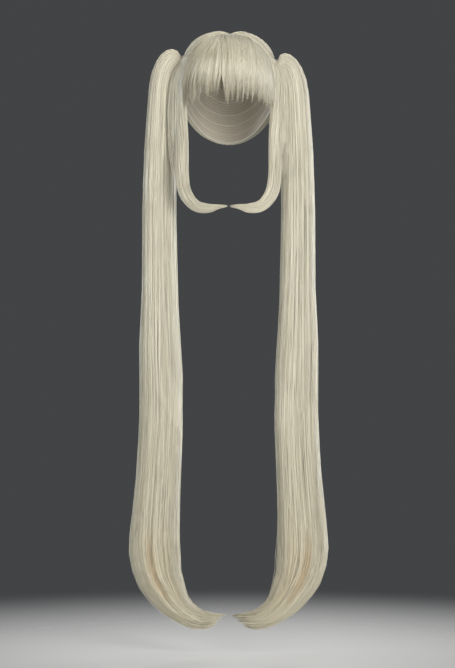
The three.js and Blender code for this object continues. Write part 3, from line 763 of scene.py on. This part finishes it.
count = FRINGE_LOCKS
share = stations(count, 15)
start = np.linspace(-1.45, 1.33, count)[:, None] + rng.uniform(-0.5, 0.5, (count, 1)) * 2.78 / count
at = share * (fringe_end(start) - rng.uniform(0, 0.1, (count, 1)))
across = fringe_combed(start, at, 0.35) + wander(rng, count, share, 0.006)
ridge = fringe_ridge(start, at)
rise = rng.uniform(-0.6, 0.2, (count, 1)) * MM + wander(rng, count, share, 0.15 * MM)
rise = rise - VALLEY_DEPTH * (1 - ridge) * np.clip(share / 0.2, 0, 1)
girth = 2.2 * spacing(fringe_lay, across, at, rise, 1.39 / count) * pointed(share, blunt=0.8, tip=0.76)
tone_and_painted_light = rng.normal(0, 0.25, (count, 1)) + fringe_tone_and_painted_light(start, at)
warmth = np.clip(rng.normal(-0.05, 0.2, (count, 1)) + 0.3 * share**3, 0, 0.4)
locks = combed("fringe_locks", fringe_lay, across, at, rise, girth + 0.2 * MM, 0.4, tone_and_painted_light, warmth)
worn("fringe_locks", locks, hair_look, "hair")

count = FRINGE_STRANDS + FRINGE_WISPS
share = stations(count, 13)
start = rng.uniform(-1.45, 1.35, (count, 1))
at = share * (fringe_end(start) + rng.uniform(-0.1, 0.03, (count, 1)))
loose = np.where(np.arange(count) < FRINGE_STRANDS, 0.5, 0.1)[:, None]
across = fringe_combed(start, at, loose) + wander(rng, count, share, 0.02) * share
rise = (rng.uniform(0, 0.7, (count, 1)) - 2 * (1 - fringe_ridge(start, at))) * MM
girth = 0.28 * MM * pointed(share, blunt=0.6, tip=0.7)
tone_and_painted_light = rng.normal(0.1, 0.35, (count, 1)) + fringe_tone_and_painted_light(start, at)
strands = combed("fringe_strands", fringe_lay, across, at, rise, girth, 1, tone_and_painted_light, 0 * at, sides=3)
worn("fringe_strands", strands, hair_look, "hair")

# Side locks: a slim satin lock in front of each ear that hangs past the jaw, turns in below the chin and
# thins to a point, where it meets the one from the other side.
SIDE_LOCK_WIDTH = 21.5 * MM
SIDE_LOCK_DEPTH = 12 * MM
SIDE_LOCK_HANG = 209 * MM
SIDE_LOCK_FORE = 36 * MM
SIDE_LOCK_TIP_GAP = 1.6 * MM
FORWARD = np.array([0.0, -1.0, 0.0])
UP = np.array([0.0, 0.0, 1.0])
TEMPLE_PATH = [
    {"azimuth": 69, "polar": 46, "width": 0.5, "depth": 0.5},
    {"azimuth": 70, "polar": 60, "width": 0.8, "depth": 0.65},
    {"azimuth": 71, "polar": 74, "width": 0.95, "depth": 0.75},
    {"azimuth": 71, "polar": 87, "width": 1, "depth": 0.85},
]
HANG_PATH = [
    {"out": 1, "drop": 0.22, "fore": 0.1, "face": 0.35, "width": 1, "depth": 1},
    {"out": 0.995, "drop": 0.5, "fore": 0.3, "face": 0.8, "width": 1, "depth": 1},
    {"out": 0.99, "drop": 0.72, "fore": 0.5, "face": 1, "width": 1, "depth": 1},
    {"out": 0.92, "drop": 0.87, "fore": 0.66, "face": 1, "width": 0.98, "depth": 0.95},
    {"out": 0.71, "drop": 0.97, "fore": 0.8, "face": 1, "width": 0.86, "depth": 0.85},
    {"out": 0.44, "drop": 0.995, "fore": 0.92, "face": 1, "width": 0.7, "depth": 0.66},
    {"out": 0.21, "drop": 0.983, "fore": 0.98, "face": 1, "width": 0.36, "depth": 0.38},
    {"out": 0, "drop": 0.978, "fore": 1, "face": 1, "width": 0.11, "depth": 0.15},
]
TEMPLE_FALL = [
    {"x": 77, "y": -18, "z": -40, "spread": 0.4},
    {"x": 86, "y": -26, "z": -62, "spread": 0.9},
    {"x": 90, "y": -31, "z": -100, "spread": 1.1},
    {"x": 90.5, "y": -34, "z": -150, "spread": 1.1},
    {"x": 89.5, "y": -39, "z": -200, "spread": 1},
    {"x": 86, "y": -46, "z": -258, "spread": 0.6},
]
TEMPLE_FALL_HALF_WIDTH = 10.5
TEMPLE_FALL_LOCKS = 120
SIDE_LOCK_LOCKS = 84
SIDE_LOCK_STRANDS = 150
SIDE_LOCK_RIDGES = 9


def temple_fall_form(side):
    """Form of the flat fall of hair behind a side lock, across from -1 to 1 over its width."""
    last = len(TEMPLE_FALL) - 1

    def lay(across, at, rise):
        place = at * last
        spread = TEMPLE_FALL_HALF_WIDTH * read_table(TEMPLE_FALL, place, "spread")
        x = side["sign"] * (read_table(TEMPLE_FALL, place, "x") + spread * across)
        y = read_table(TEMPLE_FALL, place, "y") + 11 * across + 1.5 * across**2 - rise / MM
        return np.stack([x, y, read_table(TEMPLE_FALL, place, "z") + 0 * x], -1) * MM

    return lay


def side_lock_stations(side):
    """Rows of the lock's middle, the way that it faces and its half sizes, from the temple to its point."""
    stations = []
    for row in TEMPLE_PATH:
        half_depth = SIDE_LOCK_DEPTH / 2 * row["depth"]
        direction = from_crown(row["azimuth"], row["polar"], side["sign"])
        centre = on_head(direction, CAP_WALL + SEAT_GAP + half_depth)
        face = unit(centre - on_head(direction, 0.0))
        stations.append((centre, face, SIDE_LOCK_WIDTH / 2 * row["width"], half_depth))
    start, start_face = stations[-1][:2]
    tip = side["sign"] * SIDE_LOCK_TIP_GAP / 2
    for row in HANG_PATH:
        centre = np.array(
            [
                tip + (start[0] - tip) * row["out"],
                start[1] - SIDE_LOCK_FORE * row["fore"],
                start[2] - SIDE_LOCK_HANG * row["drop"],
            ]
        )
        face = unit(start_face + (FORWARD - start_face) * row["face"])
        width, depth = SIDE_LOCK_WIDTH / 2 * row["width"], SIDE_LOCK_DEPTH / 2 * row["depth"]
        stations.append((centre, face, width, depth))
    names = ("x", "y", "z", "face_x", "face_y", "face_z", "width", "depth")
    return [dict(zip(names, (*centre, *face, width, depth))) for centre, face, width, depth in stations]


def side_lock_form(side):
    """Form of a side lock: across is a turn round it, along a share of its rows, and rise a depth over it."""
    rows = side_lock_stations(side)
    last = len(rows) - 1

    def lay(across, at, rise):
        place = at * last

        def middle(where):
            return np.stack([read_table(rows, where, name) for name in ("x", "y", "z")], -1)

        face = unit(np.stack([read_table(rows, place, name) for name in ("face_x", "face_y", "face_z")], -1))
        along = unit(middle(np.minimum(place + 0.05, last)) - middle(np.minimum(place + 0.05, last) - 0.1))
        sideways = unit(np.cross(along, face))
        out = np.cross(sideways, along)
        grow = 1 + rise / (SIDE_LOCK_DEPTH / 2)
        wide = read_table(rows, place, "width") * grow * np.cos(2 * np.pi * across)
        deep = read_table(rows, place, "depth") * grow * np.sin(2 * np.pi * across)
        return middle(place) + sideways * wide[..., None] + out * deep[..., None]

    return lay


for side in SIDES:
    rng = np.random.default_rng(side["seed"] + 1)
    lay = side_lock_form(side)

    def side_lock_shell(around, at, lay=lay):
        """Closed body, drawn to a point at both ends."""
        pinch = np.clip(np.sin(np.pi * at) / 0.12, 0, 1)
        return lay(around, 0.96 * at, (0.84 * pinch - 1) * SIDE_LOCK_DEPTH / 2)

    body = wrapped("side_lock_body", side_lock_shell, 24, 70, 2 * SIDE_LOCK_WIDTH, 0.3)
    worn(f"side_lock_{side['name']}_body", body, painted_shade_look, "hair", f"side_lock_{side['name']}")

    count = SIDE_LOCK_LOCKS
    end = rng.uniform(0.88, 1.0, (count, 1))
    share = stations(count, 44)
    at = share * end
    across = (np.arange(count) + rng.uniform(-0.4, 0.4, count))[:, None] / count
    across = across + wander(rng, count, share, 0.008)
    valley = 1 - ridges(across, 11 * at, SIDE_LOCK_RIDGES, side["seed"])
    ridge = 1 - valley * np.abs(np.sin(2 * np.pi * across)) ** 0.5
    rise = rng.uniform(-0.3, 0, (count, 1)) * MM - 1.3 * MM * (1 - ridge)
    girth = 2.2 * spacing(lay, across, at, rise, 0.5 / count) * pointed(share, blunt=0.6, tip=0.85) + 0.2 * MM
    # Painted light: the ridges are painted paler and the valleys between them deeper, as shade.
    tone_and_painted_light = rng.normal(-0.2, 0.15, (count, 1)) + 0.9 * (ridge - 0.6)
    warmth = np.clip(rng.normal(-0.05, 0.15, (count, 1)), 0, 0.4) * share
    locks = combed("side_lock_locks", lay, across, at, rise, girth, 0.4, tone_and_painted_light, warmth)
    worn(f"side_lock_{side['name']}_locks", locks, hair_look, "hair")

    count = SIDE_LOCK_STRANDS
    end = rng.uniform(0.85, 1.0, (count, 1))
    share = stations(count, 40)
    at = share * end
    across = rng.uniform(0, 1, (count, 1)) + wander(rng, count, share, 0.03)
    rise = rng.uniform(-0.8, 0.4, (count, 1)) * MM
    girth = 0.26 * MM * pointed(share, blunt=0.6, tip=0.8)
    tone_and_painted_light = rng.normal(0.1, 0.35, (count, 1)) + 0 * at
    strands = combed("side_lock_strands", lay, across, at, rise, girth, 1, tone_and_painted_light, 0 * at, sides=3)
    worn(f"side_lock_{side['name']}_strands", strands, hair_look, "hair")

    lay = temple_fall_form(side)
    count = TEMPLE_FALL_LOCKS
    share = stations(count, 26)
    at = share * rng.uniform(0.8, 1.0, (count, 1))
    across = np.linspace(-1, 1, count)[:, None] + wander(rng, count, share, 0.08)
    rise = rng.uniform(-4, 1, (count, 1)) * MM
    girth = rng.uniform(0.45, 0.95, (count, 1)) * MM * pointed(share, blunt=0.6, tip=0.7)
    tone_and_painted_light = rng.normal(-0.25, 0.35, (count, 1)) + 0 * at
    warmth = np.clip(rng.normal(0, 0.2, (count, 1)), 0, 0.4) + 0 * at
    fall = combed("temple_fall", lay, across, at, rise, girth, 0.6, tone_and_painted_light, warmth)
    worn(f"side_lock_{side['name']}_fall", fall, hair_look, "hair")

# Ties: a covered elastic ring round the root of each pigtail, pressed into the gathered hair. Its knitted
# cover is puckered by the stretch.
TIE_RADIUS = 13 * MM
TIE_CORD = 2.6 * MM
TIE_PUCKERS = 26


def tie_finish():
    finish = Finish("covered_elastic")
    flow = finish.node("ShaderNodeUVMap", {"uv_map": "flow"})
    knit = finish.node(
        "ShaderNodeTexWave",
        {"wave_type": "BANDS", "bands_direction": "DIAGONAL"},
        {"Vector": finish.stretched(flow, (1.4 * MM, 1.4 * MM, 1)), "Scale": 0.6, "Distortion": 1.5},
    )
    colour = finish.blend(knit, (0.5, 0.38, 0.32, 1), (0.72, 0.6, 0.53, 1))
    bump = finish.node("ShaderNodeBump", None, {"Height": knit, "Strength": 0.7, "Distance": 0.3 * MM})
    return finish.surface(Base_Color=colour, Roughness=0.8, Normal=bump, Sheen_Weight=0.3)


def tie_seat(side):
    """Middle and axis of a tie, and the direction in its ring that points up."""
    direction = gather_direction(side)
    depth = CROWN_HAIR * CROWN_SWELL[-1]["depth"]
    middle = on_head(direction, CAP_WALL + SEAT_GAP + depth + TIE_CORD / 2)
    axis = unit(middle - on_head(direction, 0.0))
    return middle, axis, unit(UP - axis * (UP @ axis))


tie_look = tie_finish()
for side in SIDES:
    middle, axis, top = tie_seat(side)
    abreast = np.cross(top, axis)

    def tie_ring(around, section, middle=middle, axis=axis, top=top, abreast=abreast):
        turn, roll = 2 * np.pi * around, 2 * np.pi * section
        cord = TIE_CORD * (1 + 0.07 * np.sin(TIE_PUCKERS * turn))
        radial = top * np.cos(turn)[:, None] + abreast * np.sin(turn)[:, None]
        outwards = radial * (TIE_RADIUS + cord * np.cos(roll))[:, None]
        return middle + outwards + axis * (cord * np.sin(roll))[:, None]

    ring = wrapped("tie", tie_ring, 130, 12, 2 * math.pi * TIE_RADIUS, 2 * math.pi * TIE_CORD)
    worn(f"tie_{side['name']}_elastic", ring, tie_look, "elastic", f"tie_{side['name']}")

# Pigtails: the whole side's hair leaves the tie, arches up and out, falls straight for about 0.9 m and
# curls inwards into staggered pointed ends. Each is a body of hair, flat locks over it, single strands on
# top and looser hairs along its edges.
PIGTAIL_END = 1018 * MM
PIGTAIL_RISE = 35 * MM
PIGTAIL_SHOULDER = 80 * MM
PIGTAIL_HALF_WIDTH = 41 * MM
PIGTAIL_HALF_DEPTH = 26 * MM
PIGTAIL_TIP_GAP = 13 * MM
ARCH = {
    "low": {"rise": 0.14, "shoulder": 0.2},
    "high": {"rise": 1, "shoulder": 1},
}
PIGTAIL_FALL = table(
    "drop out width depth",
    (0.062, 0.951, 0.58, 0.8),
    (0.149, 0.985, 0.65, 0.92),
    (0.254, 1, 0.69, 0.97),
    (0.376, 0.993, 0.71, 1),
    (0.481, 0.993, 0.83, 1),
    (0.586, 0.963, 0.89, 1),
    (0.691, 1, 0.89, 1),
    (0.761, 1.038, 0.95, 1),
    (0.813, 1.064, 1, 0.98),
    (0.851, 1.067, 1.03, 0.93),
    (0.889, 1.011, 0.935, 0.86),
    (0.913, 0.914, 0.8, 0.77),
    (0.937, 0.791, 0.64, 0.68),
    (0.955, 0.642, 0.49, 0.6),
    (0.971, 0.403, 0.41, 0.5),
    (0.971, 0.173, 0.3, 0.38),
    (0.968, 0, 0.17, 0.24),
)
PLACE_ROOT = -1.1
CURL_START = 8
FALL_END = len(PIGTAIL_FALL) - 1
BODY_START = -1.2
BODY_END = 14.6
INNER_STOP = 16.25
OUTER_STOP = 15.0
BEYOND_LENGTH = 14 * MM
CURL_FULLNESS = 1.5 * MM
PIGTAIL_LOCKS = 300
PIGTAIL_STRANDS = 480
PIGTAIL_RIDGES = 31
TIP_POINTS = 7


def pigtail_form(side):
    """Form of a pigtail: across is a turn round it from its outer edge over its front, along a place in
    the rows of its fall, with the arch from -1 to 0, and rise a depth over it."""
    middle, axis, top = tie_seat(side)
    line = middle[0] + side["sign"] * side["out"]
    tip = side["sign"] * PIGTAIL_TIP_GAP / 2
    neck_radius = TIE_RADIUS - TIE_CORD - SEAT_GAP

    def centre(place):
        x = tip + (line - tip) * read_table(PIGTAIL_FALL, place, "out")
        z = middle[2] + (-PIGTAIL_END - middle[2]) * read_table(PIGTAIL_FALL, place, "drop")
        return np.stack([x, middle[1] + 0 * x, z], -1)

    def lay(across, at, rise):
        outer = (1 + np.cos(2 * np.pi * across)) / 2
        fuller = CURL_FULLNESS * outer**2 * np.exp(-(((at - 12.8) / 2.2) ** 2))
        grow = 1 + (rise + fuller) / PIGTAIL_HALF_DEPTH
        u = (grow * np.cos(2 * np.pi * across))[..., None]
        v = (grow * np.sin(2 * np.pi * across))[..., None]
        place = np.clip(at, 0, FALL_END)
        ahead = np.clip(place + 0.1, 0, FALL_END)
        along = unit(centre(ahead) - centre(ahead - 0.2))
        outward = -side["sign"] * np.cross(along, FORWARD)
        wide = PIGTAIL_HALF_WIDTH * read_table(PIGTAIL_FALL, place, "width")[..., None]
        deep = PIGTAIL_HALF_DEPTH * read_table(PIGTAIL_FALL, place, "depth")[..., None]
        falling = centre(place) + outward * wide * u + FORWARD * deep * v
        falling = falling + along * np.clip(at - FALL_END, 0, 1)[..., None] * BEYOND_LENGTH
        high = (1 + u) / 2

        def share(name):
            return ARCH["low"][name] + (ARCH["high"][name] - ARCH["low"][name]) * high

        neck = middle + axis * (TIE_CORD + SEAT_GAP) + (top * u + FORWARD * v) * neck_radius
        leave = unit(axis + (UP - axis) * side["lift"] * high)
        lifted = neck + leave * PIGTAIL_RISE * share("rise")
        turned = falling + UP * PIGTAIL_SHOULDER * share("shoulder")
        t = np.clip(at + 1, 0, 1)[..., None]
        arching = (1 - t) ** 3 * neck + 3 * t * (1 - t) ** 2 * lifted
        arching = arching + 3 * t**2 * (1 - t) * turned + t**3 * falling
        rooted = arching + axis * np.minimum(at + 1, 0)[..., None] * 8 * TIE_CORD
        return np.where((at < 0)[..., None], rooted, falling)

    return lay


def tip_point(across):
    """Number of the pointed end that hair belongs to, counted from the inner edge of the curl."""
    return np.floor(0.999 * TIP_POINTS * (1 + np.cos(2 * np.pi * across)) / 2).astype(int)


def drawn_together(across, at, start, pull):
    """Places across that close up on the middle of their pointed end from a start place on."""
    first = np.mod(across[:, :1], 1)
    aim = np.arccos(2 * (tip_point(first) + 0.5) / TIP_POINTS - 1) / (2 * np.pi)
    aim = np.where(first < 0.5, aim, 1 - aim)
    share = np.clip((at - start) / 2.5, 0, 1)
    return across + (aim - first) * pull * share**2 * (3 - 2 * share)


def clump_stop(rng, across):
    """Where each lock ends: further on at the inner edge, and alike for the locks of one pointed end."""
    outer = (1 + np.cos(2 * np.pi * across)) / 2
    stagger = rng.uniform(-0.35, 0.15, TIP_POINTS)[tip_point(across)]
    return INNER_STOP + (OUTER_STOP - INNER_STOP) * outer + stagger


def relief(at):
    """How far the ridges stand out: less in the smooth lower part."""
    return 1 - 0.8 * np.clip((at - 3) / 4, 0, 1)


def hump(value, middle, width):
    return np.exp(-(((value - middle) / width) ** 2))


def curl_part(at):
    """1 along the part where the pigtail turns inwards."""
    return np.clip((at - 7.8) / 1.6, 0, 1) * np.clip((12.6 - at) / 1.8, 0, 1)


def warm_streaks(across, at):
    """Warmer fibre in soft streaks along the front of the curl, between its outer layer and its body."""
    u = np.cos(2 * np.pi * across)
    front = np.clip(np.sin(2 * np.pi * across) * 3, 0, 1)
    soft = 0.3 * hump(u, -0.4, 0.28) * np.clip((at - 7) / 2, 0, 1) * np.clip((14 - at) / 2, 0, 1)
    return front * (hump(u, 0.2, 0.17) * curl_part(at) + soft)


def curl_tone(across, at):
    """The outer layer of the curl is paler where it ends over the warm streak, and deeper outside that."""
    u = np.cos(2 * np.pi * across)
    front = np.clip(np.sin(2 * np.pi * across) * 3, 0, 1)
    layers = 0.4 * hump(u, 0.55, 0.1) - 0.4 * hump(u, 0.75, 0.06) - 0.3 * hump(u, 0.2, 0.15)
    return front * curl_part(at) * layers


def low_tone(at):
    """The hair grows a little deeper down the pigtail."""
    return -0.8 * np.clip((at - 4) / 3, 0, 1) - 0.5 * np.clip((at - 8) / 4, 0, 1)


def places(straight, curl):
    """Places along a pigtail, close together in its arch and its curl."""
    arch = np.linspace(PLACE_ROOT, 0, 9)[:-1]
    fall = np.linspace(0, CURL_START, straight + 1)[:-1]
    return np.concatenate([arch, fall, np.linspace(CURL_START, FALL_END, curl)])


for side in SIDES:
    rng = np.random.default_rng(side["seed"] + 2)
    lay = pigtail_form(side)

    def pigtail_shell(around, down, lay=lay):
        """Closed body with shallow flutes, drawn to a point inside the tie and inside the curl."""
        at = BODY_START + (BODY_END - BODY_START) * down
        flutes = 1.6 * MM * (ridges(around, at, PIGTAIL_RIDGES, side["seed"]) - 0.6) * relief(at)
        pinch = np.clip(down / 0.01, 0, 1) * np.clip((1 - down) / 0.12, 0, 1) ** 0.5
        return lay(around, at, (0.91 * pinch - 1) * PIGTAIL_HALF_DEPTH + flutes * pinch)

    body = wrapped("pigtail_body", pigtail_shell, 120, 110, 0.21, 1.0)
    worn(f"pigtail_{side['name']}_body", body, painted_shade_look, "hair", f"pigtail_{side['name']}")

    count = PIGTAIL_LOCKS
    place = places(9, 15)
    round_share = (np.arange(count) + rng.uniform(-0.4, 0.4, count))[:, None] / count
    stop = clump_stop(rng, round_share) - rng.uniform(0, 0.35, (count, 1))
    share = (place - place[0])[None, :] / (place[-1] - place[0])
    at = place[0] + (stop - place[0]) * share
    across = round_share + wander(rng, count, share, 0.004)
    ridge = 0.62 + (ridges(across, at, PIGTAIL_RIDGES, side["seed"]) - 0.62) * relief(at)
    across = drawn_together(across, at, stop - 2.8, 0.92)
    rise = rng.uniform(-0.4, 0.1, (count, 1)) * MM - 1.5 * MM * (1 - ridge)
    rise = rise + wander(rng, count, share, 0.3 * MM)
    rise = rise - np.clip((at - stop + 2.0) / 2.0, 0, 1) ** 2 * rng.uniform(0, 6, (count, 1)) * MM
    girth = 2.3 * spacing(lay, across, at, 0 * at, 0.5 / count)
    girth = girth * pointed(share, blunt=0.8, tip=0.9) + 0.25 * MM
    # Painted light: the ridges are painted paler and the valleys between them deeper, as shade.
    tone_and_painted_light = rng.normal(0, 0.14, (count, 1)) + 1.0 * (ridge - 0.62) + curl_tone(across, at) + low_tone(at)
    warmth = np.clip(rng.normal(-0.1, 0.15, (count, 1)), 0, 0.4) + warm_streaks(across, at)
    locks = combed("pigtail_locks", lay, across, at, rise, girth, 0.4, tone_and_painted_light, np.clip(warmth, 0, 1))
    worn(f"pigtail_{side['name']}_locks", locks, hair_look, "hair")

    count = PIGTAIL_STRANDS
    place = places(7, 12)
    share = (place - place[0])[None, :] / (place[-1] - place[0])
    round_share = rng.uniform(0, 1, (count, 1))
    stop = clump_stop(rng, round_share) + rng.uniform(-0.9, 0.2, (count, 1))
    at = place[0] + (stop - place[0]) * share
    across = round_share + wander(rng, count, share, 0.012)
    across = drawn_together(across, at, stop - 2.8, 0.75)
    fray = rng.exponential(0.9, (count, 1)) * (rng.random((count, 1)) < 0.25) * np.clip((at - 7) / 6, 0, 1)
    rise = (rng.uniform(-0.8, 0.5, (count, 1)) + np.clip(fray, 0, 3)) * MM
    rise = rise - np.clip((at - stop + 2.0) / 2.0, 0, 1) ** 2 * rng.uniform(-1, 6, (count, 1)) * MM
    girth = 0.3 * MM * pointed(share, blunt=0.6, tip=0.85)
    tone_and_painted_light = rng.normal(0.1, 0.35, (count, 1)) + low_tone(at)
    warmth = np.clip(0.8 * warm_streaks(across, at), 0, 1)
    strands = combed("pigtail_strands", lay, across, at, rise, girth, 1, tone_and_painted_light, warmth, sides=3)
    worn(f"pigtail_{side['name']}_strands", strands, hair_look, "hair")
